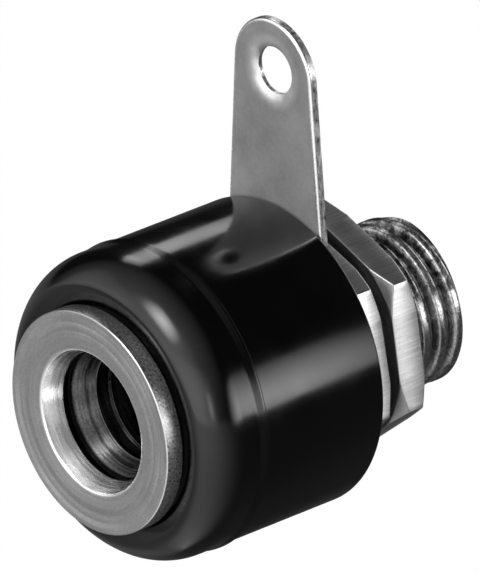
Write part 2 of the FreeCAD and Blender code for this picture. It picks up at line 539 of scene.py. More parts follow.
@dataclass(frozen=True)
class Metal:
    """Plated or tinned metal with machining marks and a cloudy tone.

    Attributes:
        name: Name of the material.
        tone: Reflectance of the clean metal.
        tone_spread: How far marks change that tone, as a share.
        rough: Mean roughness.
        rough_spread: How far marks change the roughness.
        grain: The way of the marks.
        marks_per_mm: How many marks lie side by side in a millimetre.
        stretch: How many times longer than wide a mark is.
        relief_mm: Depth of the marks.
        cloud_per_mm: Size of the cloudy patches.
        cloud: How far the patches change the tone, as a share.
        anisotropy: How far the gloss is drawn out across the marks.
        metallic: Share of mirror-like metal; matt plating has less.
        grit: How far a fine sandy grain changes the tone, as a share.
        grit_per_mm: Size of that grain.
    """

    name: str
    tone: float
    tone_spread: float = 0.12
    rough: float = 0.30
    rough_spread: float = 0.08
    grain: Grain = Grain.RINGS
    marks_per_mm: float = 9.0
    stretch: float = 20.0
    relief_mm: float = 0.002
    cloud_per_mm: float = 0.6
    cloud: float = 0.08
    anisotropy: float = 0.5
    metallic: float = 1.0
    grit: float = 0.05
    grit_per_mm: float = 15.0

    def shade(self, sheet: ShaderSheet, tone: Socket) -> Socket:
        """Return the tone with any darker places; plain metal has none."""
        return tone

    def shine(self, sheet: ShaderSheet) -> Value:
        """Return the share of mirror-like metal, the same everywhere on plain metal."""
        return self.metallic

    def material(self) -> bpy.types.Material:
        """Build the finish.

        Returns:
            The finished material.
        """
        sheet = ShaderSheet(self.name)
        grained = sheet.grained(self.grain, self.stretch)
        marks = sheet.noise(grained, self.marks_per_mm, detail=3.0, rough=0.6)
        clouds = sheet.noise(sheet.place, self.cloud_per_mm, detail=3.0)
        grains = sheet.noise(sheet.place, self.grit_per_mm, detail=1.0)
        tone = sheet.vary(marks, self.tone, self.tone * self.tone_spread)
        tone = sheet.times(tone, sheet.vary(clouds, 1, self.cloud))
        tone = sheet.times(tone, sheet.vary(grains, 1, self.grit))
        inputs = {"Base Color": sheet.grey(self.shade(sheet, tone)), "Metallic": self.shine(sheet),
                  "Roughness": sheet.vary(marks, self.rough, self.rough_spread),
                  "Normal": sheet.bump(marks, self.relief_mm)}
        if self.grain is not Grain.SPECKLE:
            inputs |= {"Anisotropic": self.anisotropy, "Anisotropic Rotation": 0.25,
                       "Tangent": sheet.along(self.grain)}
        return sheet.close(inputs)


@dataclass(frozen=True)
class ThreadMetal(Metal):
    """Plated metal of the thread with random tarnish spots, and painted shade: darker in the roots than on
    the crests, and more spots on the upper side.

    Attributes:
        root_mm: Radius at which the painted shade in the roots is full.
        crest_mm: Radius at which that painted shade has faded out.
        root_shade_share: Tone in the roots, as a share.
        spots_per_mm: Size of the tarnish spots.
        spot_edge: Noise values between which a spot begins.
        spots_below: How far the spots darken the lower side, as a share.
        upper_shade_spots: How far they darken the upper side.
        spot_heights: Heights between which the upper side begins.
    """

    root_mm: float = 2.66
    crest_mm: float = 2.97
    root_shade_share: float = 0.22
    spots_per_mm: float = 2.6
    spot_edge: tuple[float, float] = (0.44, 0.58)
    spots_below: float = 0.15
    upper_shade_spots: float = 0.82
    spot_heights: tuple[float, float] = (-0.6, 2.2)

    def shade(self, sheet: ShaderSheet, tone: Socket) -> Socket:
        """Paint shade into the roots, and tarnish spots that grow denser on the upper side as painted
        shade.

        Args:
            sheet: The material's node tree.
            tone: The tone of the clean metal.

        Returns:
            The darkened tone.
        """
        depth = (self.root_mm, self.crest_mm)
        # Painted shade: the roots are darker than the crests
        lift = sheet.remap(sheet.radius(), depth, (self.root_shade_share, 1.0), smooth=True)
        cells = sheet.noise(sheet.place, self.spots_per_mm, detail=5.0, rough=0.65)
        spots = sheet.remap(cells, self.spot_edge, (0.0, 1.0))
        # Painted shade: the tarnish spots grow denser towards the top
        upper = sheet.remap(sheet.z, self.spot_heights, (self.spots_below, self.upper_shade_spots), smooth=True)
        clean = sheet.math("SUBTRACT", 1.0, sheet.times(spots, upper))
        return sheet.times(sheet.times(tone, lift), clean)


@dataclass(frozen=True)
class SheetMetal(Metal):
    """Matt plated sheet, burnished round its punched hole.

    Attributes:
        burnished: Distances from the hole's middle between which the burnish fades out.
        burnished_tone: Tone of the burnished metal, as a share of the matt one.
    """

    burnished: tuple[float, float] = (0.95, 1.50)
    burnished_tone: float = 2.1

    def fade(self, sheet: ShaderSheet, near: float, far: float) -> Socket:
        """Return a value that eases from near, at the hole's edge, to far on the plain sheet."""
        return sheet.remap(sheet.radius(WIRE_HOLE_HEIGHT), self.burnished, (near, far), smooth=True)

    def shade(self, sheet: ShaderSheet, tone: Socket) -> Socket:
        """Return the tone, brighter round the hole."""
        return sheet.times(tone, self.fade(sheet, self.burnished_tone, 1.0))

    def shine(self, sheet: ShaderSheet) -> Value:
        """Return the share of mirror-like metal, full round the hole."""
        return self.fade(sheet, 1.0, self.metallic)


@dataclass(frozen=True)
class BoreMetal(Metal):
    """Turned metal inside the bore, with painted shade: nearly black in the tool groove behind the mouth,
    and dark deeper in.

    Attributes:
        groove_end_y: Where the tool groove ends.
        groove_fade: Length over which it ends.
        groove_shade_share: Tone in the groove, as a share.
        deep_shade_share: Tone behind it, as a share.
    """

    groove_end_y: float = -1.97
    groove_fade: float = 0.04
    groove_shade_share: float = 0.05
    deep_shade_share: float = 0.12

    def shade(self, sheet: ShaderSheet, tone: Socket) -> Socket:
        """Return the tone with painted shade, nearly black in the groove and dark behind it."""
        # Painted shade: the bore's tone drops to a few percent in the groove and stays low behind it
        edge = (self.groove_end_y, self.groove_end_y + self.groove_fade)
        return sheet.times(tone, sheet.remap(sheet.y, edge, (self.groove_shade_share, self.deep_shade_share)))


@dataclass(frozen=True)
class Moulding:
    """Glossy moulded plastic with a faintly uneven skin.

    Attributes:
        name: Name of the material.
        tone: Reflectance of the body colour.
        tone_shares: Lowest and highest tone of the fine grain, as shares.
        rough: Mean roughness.
        rough_spread: How far cloudy patches change it.
        cloud_per_mm: Size of those patches.
        specular: The shader's specular level.
        skin_per_mm: Size of the uneven skin's cells.
        skin_mm: Height of the uneven skin.
        fine_per_mm: Size of the fine grain on it.
        fine_mm: Height of that grain.
    """

    name: str = "moulded_plastic"
    tone: float = 0.0015
    tone_shares: tuple[float, float] = (0.8, 1.25)
    rough: float = 0.15
    rough_spread: float = 0.03
    cloud_per_mm: float = 0.9
    specular: float = 0.50
    skin_per_mm: float = 0.5
    skin_mm: float = 0.002
    fine_per_mm: float = 14.0
    fine_mm: float = 0.0002

    def material(self) -> bpy.types.Material:
        """Build the finish.

        Returns:
            The finished material.
        """
        sheet = ShaderSheet(self.name)
        skin = sheet.noise(sheet.place, self.skin_per_mm, detail=1.0)
        fine = sheet.noise(sheet.place, self.fine_per_mm)
        clouds = sheet.noise(sheet.place, self.cloud_per_mm, detail=4.0)
        tone = sheet.remap(fine, NOISE_RANGE, tuple(self.tone * share for share in self.tone_shares))
        return sheet.close({"Base Color": sheet.grey(tone), "Specular IOR Level": self.specular,
                            "Roughness": sheet.vary(clouds, self.rough, self.rough_spread),
                            "Normal": sheet.bump(fine, self.fine_mm, sheet.bump(skin, self.skin_mm))})


FACE_METAL = Metal("turned_face", 0.54, tone_spread=0.10, rough=0.33, marks_per_mm=6.0, stretch=90.0,
                   relief_mm=0.0035, anisotropy=0.4, grit=0.10)
SIDE_METAL = Metal("grainy_side", 0.50, tone_spread=0.35, rough=0.34, rough_spread=0.10,
                   grain=Grain.SPECKLE, marks_per_mm=12.0, relief_mm=0.014, cloud=0.15, grit=0.30)
CONE_METAL = Metal("turned_cone", 0.86, rough=0.24, marks_per_mm=8.0, stretch=60.0, relief_mm=0.004,
                   anisotropy=0.75)
BORE_METAL = BoreMetal("turned_bore", 0.60, tone_spread=0.8, rough=0.28, marks_per_mm=5.0, relief_mm=0.016,
                       stretch=60.0, cloud=0.2, grit=0.35)
THREAD_METAL = ThreadMetal("rolled_thread", 0.54, tone_spread=0.30, rough=0.30, rough_spread=0.10,
                           marks_per_mm=6.0, stretch=4.0, relief_mm=0.014, cloud=0.2, anisotropy=0.2,
                           grit=0.25)
NUT_METAL = Metal("drawn_bar", 0.76, tone_spread=0.16, rough=0.31, rough_spread=0.02,
                  grain=Grain.ALONG, marks_per_mm=20.0, stretch=24.0, relief_mm=0.0005, cloud=0.06)
# Nut faces at half the tone of the flats: a turned finish, and painted shade for the faces in the gap
# between the nuts
NUT_FACE_SHADED_METAL = Metal("turned_nut_face_shaded", 0.38, rough=0.34, stretch=40.0)
SHEET_METAL = SheetMetal("tinned_sheet", 0.42, tone_spread=0.04, rough=0.34, rough_spread=0.03,
                         grain=Grain.SPECKLE, marks_per_mm=3.0, relief_mm=0.0008, cloud_per_mm=0.45,
                         cloud=0.24, metallic=0.45, grit_per_mm=9.0)
ROLLED_METAL = Metal("rolled_rim", 0.85, tone_spread=0.06, rough=0.25, rough_spread=0.05,
                     grain=Grain.SPECKLE, marks_per_mm=6.0, relief_mm=0.006, cloud=0.12, grit=0.08)
SHEAR_METAL = Metal("sheared_edge", 0.64, tone_spread=0.45, rough=0.36, rough_spread=0.14,
                    grain=Grain.UPRIGHT, stretch=3.0, relief_mm=0.016, cloud=0.25, anisotropy=0.2)
PLASTIC = Moulding()


# Sub-assemblies


@dataclass
class Piece:
    """One real piece, which stands for a CAD node and rides on its body.

    Attributes:
        node: The CAD node.
        body: The CAD body.
        slot: The record's material slot; not used.
        segments: Steps round the axis.
    """

    node: str
    body: str
    slot: str
    segments: int = 192

    def adopt(self, made: bpy.types.Object) -> bpy.types.Object:
        """Tie the finished object to its body and hide its CAD node.

        Args:
            made: The object, in place.

        Returns:
            The same object.
        """
        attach(made, self.body)
        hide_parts(self.node)
        return made


class ThreadTree(GeometryTree):
    """Outside of a threaded bar: a sheet whose rows climb the helix, so crests stay crisp."""

    def __init__(self) -> None:
        """Build the tree."""
        super().__init__("helical_thread")
        crest, depth, pitch, start, end, run_out = self.entries(
            "Crest Radius", "Depth", "Pitch", "Start", "End", "Run Out")
        end_radius, end_slope, face_radius, crest_flat, root_flat = self.entries(
            "End Radius", "End Slope", "Face Radius", "Crest Flat", "Root Flat")
        turns, rows, segments = self.entries("Turns", "Rows Per Turn", "Segments", kind="NodeSocketInt")
        grid, share, way = self.grid(segments, self.times(turns, rows))
        climb = self.times(way, turns)
        rise = self.math("SUBTRACT", self.math("ADD", climb, share), 1.0)
        raw = self.math("MULTIPLY_ADD", rise, pitch, start)
        along = self.math("MINIMUM", self.math("MAXIMUM", raw, start), end)
        passed = self.math("DIVIDE", self.math("SUBTRACT", along, start), pitch)
        phase = self.math("SUBTRACT", passed, share)
        wave = self.math("ABSOLUTE", self.math("MULTIPLY_ADD", self.math("FRACT", phase), 2.0, -1.0))
        flank = (root_flat, self.math("SUBTRACT", 1.0, crest_flat))
        groove = self.remap(wave, flank, (1.0, 0.0), smooth=True)
        fade = self.remap(along, (start, self.math("ADD", start, run_out)), (0.0, 1.0), smooth=True)
        cut = self.times(self.times(groove, fade), depth)
        limit = self.math("MULTIPLY_ADD", self.math("SUBTRACT", end, along), end_slope, end_radius)
        outside = self.math("MINIMUM", self.math("SUBTRACT", crest, cut), limit)
        last = self.math("GREATER_THAN", way, LAST_ROW)
        radius = self.math("MULTIPLY_ADD", self.math("SUBTRACT", face_radius, outside), last, outside)
        self.bend(grid, self.around(radius, along, self.times(share, 2 * math.pi)))


class NutTree(GeometryTree):
    """Hexagon nut with chamfered corners: eight rows round the axis, closed on themselves."""

    rows = 8

    def __init__(self) -> None:
        """Build the tree."""
        super().__init__("hexagon_nut")
        flat, face, slope, thick, hole, hole_break, middle, corner = self.entries(
            "Flat Radius", "Face Radius", "Chamfer Slope", "Thickness", "Hole Radius", "Hole Break",
            "Middle", "Corner Angle")
        segments, = self.entries("Segments", kind="NodeSocketInt")
        grid, share, way = self.grid(segments, self.rows)
        turned = self.times(share, 2 * math.pi)
        row = self.math("ROUND", self.times(way, self.rows))
        side = math.pi / 3
        within = self.math("SUBTRACT", self.math("MODULO", turned, side), side / 2)
        rim = self.math("DIVIDE", flat, self.math("COSINE", within))
        lip = self.math("MINIMUM", face, rim)
        half = self.times(thick, 0.5)
        drop = self.times(self.math("SUBTRACT", rim, lip), slope)
        edge = self.math("SUBTRACT", half, drop)
        inner = self.math("SUBTRACT", half, hole_break)
        wide = self.math("ADD", hole, hole_break)
        radii = (hole, wide, lip, rim, rim, lip, wide, hole, hole)
        far = (self.times(value, -1.0) for value in (edge, half, half, inner))
        heights = (inner, half, half, edge, *far, inner)
        height = self.math("ADD", self.pick(row, heights), middle)
        self.bend(grid, self.around(self.pick(row, radii), height, self.math("ADD", turned, corner)))

    def pick(self, row: Socket, values: tuple[Socket, ...]) -> Socket:
        """Return the value that belongs to a row.

        Args:
            row: The row's number.
            values: One value for each row.

        Returns:
            The chosen value.
        """
        made = self.node("GeometryNodeIndexSwitch", data_type="FLOAT")
        while len(made.index_switch_items) < len(values):
            made.index_switch_items.new()
        self.wire(made.inputs["Index"], row)
        for number, value in enumerate(values):
            self.wire(made.inputs[number + 1], value)
        return made.outputs[0]


class Zone(IntEnum):
    """The sleeve's material slots."""

    FACE = 0
    SIDE = 1
    CONE = 2
    BORE = 3
    THREAD = 4


@dataclass
class Sleeve(Piece):
    """Turned sleeve: head with the plug's mouth, bore, and the threaded shank."""

    collar_y: float = -2.5
    shank_radius: float = 3.0
    bore_radius: float = 2.0
    head_edge: float = 0.035
    head_edge_round: float = 0.01
    head_back_round: float = 0.05
    edge_round: float = 0.03
    lead_radius: float = 3.07
    lead_depth: float = 0.07
    mouth_round: float = 0.12
    face_rings: tuple[float, ...] = (3.60, 3.30)
    face_ring_depth: float = 0.012
    face_ring_half: float = 0.03
    mouth_radius: float = 2.57
    mouth_end_radius: float = 2.30
    mouth_depth: float = 0.88
    relief_radius: float = 2.44
    relief_length: float = 0.36
    lead_start: float = 2.36
    lead_length: float = 0.84
    lead_steps: int = 6
    lead_fall: float = 0.35
    lead_run: float = 0.78
    ring_width: float = 0.42
    ring_depth: float = 0.045
    ring_land: float = 0.10
    ring_deepest: float = 0.35
    ring_end: float = 0.62
    step_depth: float = 0.12
    step_width: float = 0.13
    step_rise: float = 0.05
    exit_break: float = 0.15
    pitch: float = 0.75
    thread_depth: float = 0.34
    thread_start: float = -1.9
    run_out: float = 1.0
    end_radius: float = 2.87
    end_slope: float = 1.0
    face_radius: float = 2.55
    crest_flat: float = 0.30
    root_flat: float = 0.12
    rows_per_turn: int = 14

    def section(self) -> Section:
        """Draw the plain turned part, from the thread's start round to its end.

        Returns:
            The section, open where the thread goes.
        """
        low, high = box_mm(self.node)
        front, back, head = low.y, high.y, high.x
        mouth_end = front + self.mouth_depth
        relief_end = mouth_end + self.relief_length
        made = Section()
        made.to(self.shank_radius, self.thread_start, zone=Zone.THREAD)
        made.to(self.shank_radius, self.collar_y, zone=Zone.SIDE)
        made.to(head, self.collar_y, self.head_back_round)
        made.to(head, front + self.head_edge, self.head_edge_round, zone=Zone.FACE)
        made.to(head - self.head_edge, front, self.head_edge_round)
        for radius in self.face_rings:
            made.to(radius + self.face_ring_half, front)
            made.to(radius, front + self.face_ring_depth)
            made.to(radius - self.face_ring_half, front)
        made.to(self.lead_radius, front, self.edge_round)
        made.to(self.mouth_radius, front + self.lead_depth, self.mouth_round, zone=Zone.CONE)
        made.to(self.mouth_end_radius, mouth_end, self.edge_round, zone=Zone.BORE)
        made.to(self.relief_radius, mouth_end)
        made.to(self.relief_radius, relief_end)
        start = relief_end + self.lead_length
        fall = (self.lead_start - self.bore_radius) / self.lead_steps
        run = self.lead_length / self.lead_steps
        for index in range(self.lead_steps):
            radius, y = self.lead_start - fall * index, relief_end + run * index
            made.to(radius, y)
            made.to(radius - fall * self.lead_fall, y + run * self.lead_run)
        made.to(self.bore_radius, start)
        ring = start + self.ring_land
        made.to(self.bore_radius, ring)
        made.to(self.bore_radius + self.ring_depth, ring + self.ring_width * self.ring_deepest)
        made.to(self.bore_radius, ring + self.ring_width * self.ring_end)
        step = ring + self.ring_width
        made.to(self.bore_radius, step)
        made.to(self.bore_radius + self.step_depth, step + self.step_rise)
        # The step's far wall takes the bright cone metal, without the bore's painted shade, so it shows as
        # a painted bright ring
        made.to(self.bore_radius + self.step_depth, step + self.step_width, zone=Zone.CONE)
        made.to(self.bore_radius, step + self.step_width, self.edge_round, zone=Zone.BORE)
        made.to(self.bore_radius, back - self.exit_break, zone=Zone.SIDE)
        made.to(self.bore_radius + self.exit_break, back, self.edge_round)
        made.to(self.face_radius, back)
        return made

    def build(self) -> bpy.types.Object:
        """Turn the plain part and close it with the thread.

        Returns:
            The sleeve as one closed piece.
        """
        _, high = box_mm(self.node)
        finishes = (FACE_METAL, SIDE_METAL, CONE_METAL, BORE_METAL, THREAD_METAL)
        metals = [finish.material() for finish in finishes]
        made = turn(self.section(), self.segments, closed=False)
        length = high.y - self.thread_start
        values = {
            "Material": metals[Zone.THREAD], "Crest Radius": self.shank_radius * MM,
            "Depth": self.thread_depth * MM, "Pitch": self.pitch * MM,
            "Start": self.thread_start * MM, "End": high.y * MM,
            "Run Out": self.run_out * MM, "End Radius": self.end_radius * MM,
            "End Slope": self.end_slope, "Face Radius": self.face_radius * MM,
            "Crest Flat": self.crest_flat, "Root Flat": self.root_flat,
            "Turns": math.ceil(length / self.pitch) + 1,
            "Rows Per Turn": self.rows_per_turn, "Segments": self.segments,
        }
        thread = ThreadTree().mesh("thread", values)
        faces_before = len(made.faces)
        made.from_mesh(thread)
        made.faces.ensure_lookup_table()
        for face in made.faces[faces_before:]:
            face.material_index = Zone.THREAD
        return self.adopt(shown("sleeve_turned", made, metals, sharp_deg=50.0))


@dataclass
class Collar(Piece):
    """Front collar: black moulding with a rounded crown and the spigot for the panel hole."""

    bore_radius: float = FIT_RADIUS
    side_step: float = 0.06
    crown_radius: float = 1.86
    crown_sink: float = 0.32
    blend_radius: float = 0.45
    spigot_radius: float = 3.90
    lip_round: float = 0.04
    edge_round: float = 0.08
    dip_start: float = 3.85
    dip_depth: float = 0.17
    dip_deg: float = 17.0
    step_start: float = -0.06
    step_length: float = 0.30
    step_front_round: float = 0.6
    step_back_round: float = 0.4
    lip_edge: float = 0.015
    blend_steps: int = 16
    crown_steps: int = 28

    def build(self) -> bpy.types.Object:
        """Draw the moulding's section and turn it.

        Returns:
            The collar.
        """
        low, high = box_mm(self.node)
        front, lip = low.y, high.x
        side = lip - self.side_step
        centre = (side - self.crown_radius, front - self.crown_sink + self.crown_radius)
        reach = self.crown_radius - self.blend_radius
        blend_y = front + self.blend_radius
        blend_x = centre[0] + math.sqrt(reach ** 2 - (centre[1] - blend_y) ** 2)
        meet = math.degrees(math.atan2(blend_y - centre[1], blend_x - centre[0]))
        made = Section()
        made.arc((blend_x, blend_y), self.blend_radius, (-90 - self.dip_deg, meet), self.blend_steps)
        made.arc(centre, self.crown_radius, (meet, 0), self.crown_steps)
        made.to(side, self.step_start - self.step_length, self.step_front_round)
        made.to(lip, self.step_start, self.step_back_round)
        made.to(lip, -self.lip_edge)
        made.to(lip - self.lip_round, 0.0)
        made.to(self.spigot_radius, 0.0)
        made.to(self.spigot_radius, high.y, self.edge_round)
        made.to(self.bore_radius, high.y, self.edge_round)
        made.to(self.bore_radius, front, self.edge_round)
        made.to(self.dip_start, front)
        made.to(self.dip_start, front + self.dip_depth)
        return self.adopt(shown("collar_moulding", turn(made, self.segments), [PLASTIC.material()]))


@dataclass
class Bush(Piece):
    """Rear bush: black moulding with a pocket for the spigot."""

    bore_radius: float = FIT_RADIUS
    pocket_radius: float = 3.95
    pocket_end: float = 1.94
    rear_round: float = 0.08
    joint_round: float = 0.05
    edge_round: float = 0.06

    def build(self) -> bpy.types.Object:
        """Draw the moulding's section and turn it.

        Returns:
            The bush.
        """
        low, high = box_mm(self.node)
        made = Section()
        made.to(self.bore_radius, high.y, self.edge_round)
        made.to(self.bore_radius, self.pocket_end)
        made.to(self.pocket_radius, self.pocket_end)
        made.to(self.pocket_radius, low.y, self.edge_round)
        made.to(high.x, low.y, self.joint_round)
        made.to(high.x, high.y, self.rear_round)
        return self.adopt(shown("bush_moulding", turn(made, self.segments), [PLASTIC.material()]))


class SheetZone(IntEnum):
    """The lug's material slots."""

    FLAT = 0
    SHEARED = 1
    ROLLED = 2


@dataclass
class Roll:
    """How a sheet's cut edge is shaped, seen across the edge.

    Attributes:
        width: How far in from the edge the punch pulled the face down.
        drop: How far it pulled it down.
        spread: Where the shaped part begins, in widths from the edge.
        margin: Flat strip beyond that on the punched face.
        burr_round: Round on the far side.
        steps: Straight steps of the roll.
        dished: Whether the slope grows evenly towards the edge, as in a dish.
        dish_power: How late the slope of a dish grows.
        land: Flat rim beyond the burr.
        unevenness: How far the width varies along the edge, as a share.
    """

    width: float
    drop: float
    spread: float = 1.25
    margin: float = 0.05
    burr_round: float = 0.03
    steps: int = 8
    dished: bool = False
    dish_power: float = 2.4
    land: float = 0.1
    unevenness: float = 0.0

    def points(self, thickness: float) -> list[tuple[float, float]]:
        """Return (inset, depth) points from the punched face to the far face.

        Args:
            thickness: The sheet's thickness.

        Returns:
            The points, starting and ending on a flat face.
        """
        made = [(self.width * self.spread + self.margin, 0.0)]
        for share in np.linspace(0, 1, self.steps + 1):
            if self.dished:
                made.append((self.width * (1 - share), self.drop * share ** self.dish_power))
            else:
                angle = share * math.pi / 2
                made.append((self.width * (1 - math.sin(angle)), self.drop * (1 - math.cos(angle))))
        made.append((0.0, thickness - self.burr_round))
        made.append((self.burr_round, thickness))
        made.append((self.burr_round + self.land, thickness))
        return made


@dataclass
class Lug(Piece):
    """Stamped solder lug: ring and tapered tab with rolled edges and a punched wire hole."""

    ring_radius: float = 4.5
    shank_hole: float = FIT_RADIUS
    half_width: float = 2.69
    taper: float = 0.071
    tip_centre: float = 10.49
    neck_round: float = 0.80
    wire_hole: float = 0.85
    rim_roll: Roll = field(default_factory=lambda: Roll(0.12, 0.11))
    shank_roll: Roll = field(default_factory=lambda: Roll(0.06, 0.05))
    hole_roll: Roll = field(default_factory=lambda: Roll(
        0.54, 0.16, spread=1.0, margin=0.03, steps=14, dished=True, unevenness=0.35))
    ring_points: int = 72
    neck_points: int = 14
    tab_points: int = 24
    tip_points: int = 26
    hole_points: int = 96

    def outline(self, top: float) -> np.ndarray:
        """Find the outer edge.

        Args:
            top: Height of the tip.

        Returns:
            Its (x, z) points, anticlockwise from the bottom of the ring.
        """
        slant = math.hypot(1, self.taper)
        out = np.array([1, self.taper]) / slant
        up = np.array([-self.taper, 1]) / slant
        reach = self.half_width / slant + self.neck_round
        climb = math.sqrt((self.ring_radius + self.neck_round) ** 2 - reach ** 2)
        neck = reach * out + climb * up
        ring_end = math.atan2(neck[1], neck[0])
        angles = np.linspace(-math.pi / 2, ring_end, self.ring_points)
        right = [self.ring_radius * np.array([math.cos(a), math.sin(a)]) for a in angles]
        first, last = ring_end + math.pi, math.atan2(-out[1], -out[0]) + 2 * math.pi
        for angle in np.linspace(first, last, self.neck_points)[1:]:
            right.append(neck + self.neck_round * np.array([math.cos(angle), math.sin(angle)]))
        tip = self.half_width - self.taper * self.tip_centre
        foot = right[-1]
        for share in np.linspace(0, 1, self.tab_points)[1:]:
            right.append(foot + share * (np.array([tip, self.tip_centre]) - foot))
        rise = top - self.tip_centre
        radius = (tip ** 2 + rise ** 2) / (2 * rise)
        centre = top - radius
        start = math.atan2(self.tip_centre - centre, tip)
        for angle in np.linspace(start, math.pi / 2, self.tip_points)[1:]:
            right.append(np.array([radius * math.cos(angle), centre + radius * math.sin(angle)]))
        left = [np.array([-x, z]) for x, z in right[-2:0:-1]]
        return np.array(right + left)

    def edge(self, made: bmesh.types.BMesh, loop: np.ndarray, roll: Roll, front: float,
             thickness: float) -> tuple[list, list]:
        """Shape one closed edge of the sheet.

        Args:
            made: The mesh to add to.
            loop: The edge's (x, z) points, with the metal on their left.
            roll: The shape across the edge.
            front: Where the punched face lies along the axis.
            thickness: The sheet's thickness.

        Returns:
            The mesh edges that bound the punched face and the far face.
        """
        ahead = np.roll(loop, -1, axis=0) - np.roll(loop, 1, axis=0)
        ahead /= np.linalg.norm(ahead, axis=1)[:, None]
        inwards = np.stack([-ahead[:, 1], ahead[:, 0]], 1)
        rings = []
        facing = np.arctan2(inwards[:, 1], inwards[:, 0])
        waves = sum(height * np.sin(count * facing + shift) for height, count, shift in EDGE_WAVES)
        uneven = 1 + roll.unevenness * waves[:, None]
        for inset, depth in roll.points(thickness):
            at = loop + inwards * inset * uneven
            rings.append([made.verts.new((x * MM, (front + depth) * MM, z * MM)) for x, z in at])
        rolled = SheetZone.FLAT if roll.dished else SheetZone.ROLLED
        zones = [SheetZone.FLAT, *[rolled] * roll.steps, SheetZone.SHEARED, SheetZone.FLAT, SheetZone.FLAT]
        add_rows(made, rings, zones)
        front_edges, back_edges = ([made.edges.get(pair) for pair in zip(ring, ring[1:] + ring[:1])]
                                   for ring in (rings[0], rings[-1]))
        return front_edges, back_edges

    def build(self) -> bpy.types.Object:
        """Shape the edges of rim and holes, and fill the faces between them.

        Returns:
            The lug.
        """
        low, high = box_mm(self.node)
        made = bmesh.new()
        turns = -np.linspace(0, 2 * math.pi, self.hole_points + 1)[:-1]
        circle = np.stack([np.cos(turns), np.sin(turns)], 1)
        loops = (
            (self.outline(high.z), self.rim_roll),
            (circle * self.shank_hole, self.shank_roll),
            (circle[::2] * self.wire_hole + (0, WIRE_HOLE_HEIGHT), self.hole_roll),
        )
        fronts, backs = [], []
        for loop, roll in loops:
            front_edges, back_edges = self.edge(made, loop, roll, low.y, high.y - low.y)
            fronts += front_edges
            backs += back_edges
        for edges in (fronts, backs):
            bmesh.ops.triangle_fill(made, use_beauty=True, edges=edges)
        metals = [SHEET_METAL.material(), SHEAR_METAL.material(), ROLLED_METAL.material()]
        return self.adopt(shown("lug_sheet", made, metals, sharp_deg=40.0))


@dataclass
class HexNut(Piece):
    """Thin hexagon nut with chamfered faces."""

    corner_deg: float = 0.0
    flat_radius: float = 4.0
    face_radius: float = 4.15
    chamfer_deg: float = 30.0
    hole_radius: float = FIT_RADIUS
    hole_break: float = 0.20
    edge_round: float = 0.035
    round_steps: int = 3
    sharp_deg: float = 25.0
    face_share: float = 0.5

    def build(self) -> bpy.types.Object:
        """Take the hexagon from its tree and round its edges.

        Returns:
            The nut.
        """
        low, high = box_mm(self.node)
        metals = [NUT_METAL.material(), NUT_FACE_SHADED_METAL.material()]
        values = {
            "Material": metals[0],
            "Flat Radius": self.flat_radius * MM, "Face Radius": self.face_radius * MM,
            "Chamfer Slope": math.tan(math.radians(self.chamfer_deg)), "Thickness": (high.y - low.y) * MM,
            "Hole Radius": self.hole_radius * MM, "Hole Break": self.hole_break * MM,
            "Middle": (low.y + high.y) / 2 * MM, "Corner Angle": math.radians(90 - self.corner_deg),
            "Segments": self.segments,
        }
        made = bmesh.new()
        made.from_mesh(NutTree().mesh(self.node, values))
        weld(made)
        limit = math.radians(self.sharp_deg)
        sharp = [e for e in made.edges if len(e.link_faces) == 2 and e.calc_face_angle() > limit]
        bmesh.ops.bevel(made, geom=sharp, offset=self.edge_round * MM, segments=self.round_steps,
                        profile=0.5, affect="EDGES")
        # Faces along the axis take the darker face metal: a turned finish, and painted shade between the
        # nuts
        for face in made.faces:
            face.material_index = int(abs(face.normal.y) > self.face_share)
        return self.adopt(shown(self.body + "_hexagon", made, metals))


# Studio


@dataclass(frozen=True)
class Lamp:
    """One soft box, brightest in its middle and fading evenly from there to its edges.

    Attributes:
        name: Its name.
        azimuth_deg: Where it hangs, from the plug's side (-Y) towards +X.
        elevation_deg: Its height above the horizon.
        width: Width in metres.
        height: Height in metres.
        radiance: Brightness of its middle, where 1 is white.
        fade_deg: Angle from the middle at which the lamp is dark, 90 for an even face.
        lean_deg: How far its top leans towards a larger azimuth.
        distance: Distance from the socket in metres.
    """

    name: str
    azimuth_deg: float
    elevation_deg: float
    width: float
    height: float
    radiance: float
    fade_deg: float = 90.0
    lean_deg: float = 0.0
    distance: float = 0.3

    def build(self, target: Vector) -> None:
        """Hang the lamp and aim it.

        Args:
            target: The point that it faces, in metres.
        """
        light = bpy.data.lights.new(self.name, "AREA")
        light.shape = "RECTANGLE"
        light.size, light.size_y = self.width, self.height
        fade = math.radians(self.fade_deg)
        light.spread = 2 * fade
        share = 1 - fade / math.tan(fade)
        light.energy = self.radiance * math.pi * self.width * self.height * share
        item = put(self.name, light)
        way = bearing(self.azimuth_deg, self.elevation_deg)
        lean = Matrix.Rotation(-math.radians(self.lean_deg), 3, "Z")
        item.location = target + way * self.distance
        item.rotation_euler = (way.to_track_quat("Z", "Y").to_matrix() @ lean).to_euler()


@dataclass(frozen=True)
class Glow:
    """Light on the floor on one side of the socket, as glossy surfaces see it.

    Attributes:
        azimuth_deg: Its side, from the plug's side (-Y) towards +X.
        strength: Brightness there, where 1 is white.
        sharpness: How quickly it falls off to the other sides.
    """

    azimuth_deg: float
    strength: float
    sharpness: float

    def shine(self, sheet: NodeSheet, way: Socket) -> Socket:
        """Return the light's strength on the floor.

        Args:
            sheet: The floor's node tree.
            way: Unit vector from the floor's middle to the place.

        Returns:
            The strength socket.
        """
        facing = sheet.vector("DOT_PRODUCT", way, tuple(bearing(self.azimuth_deg)), output="Value")
        share = sheet.math("POWER", sheet.math("MAXIMUM", facing, 0.0), self.sharpness)
        return sheet.times(share, self.strength)


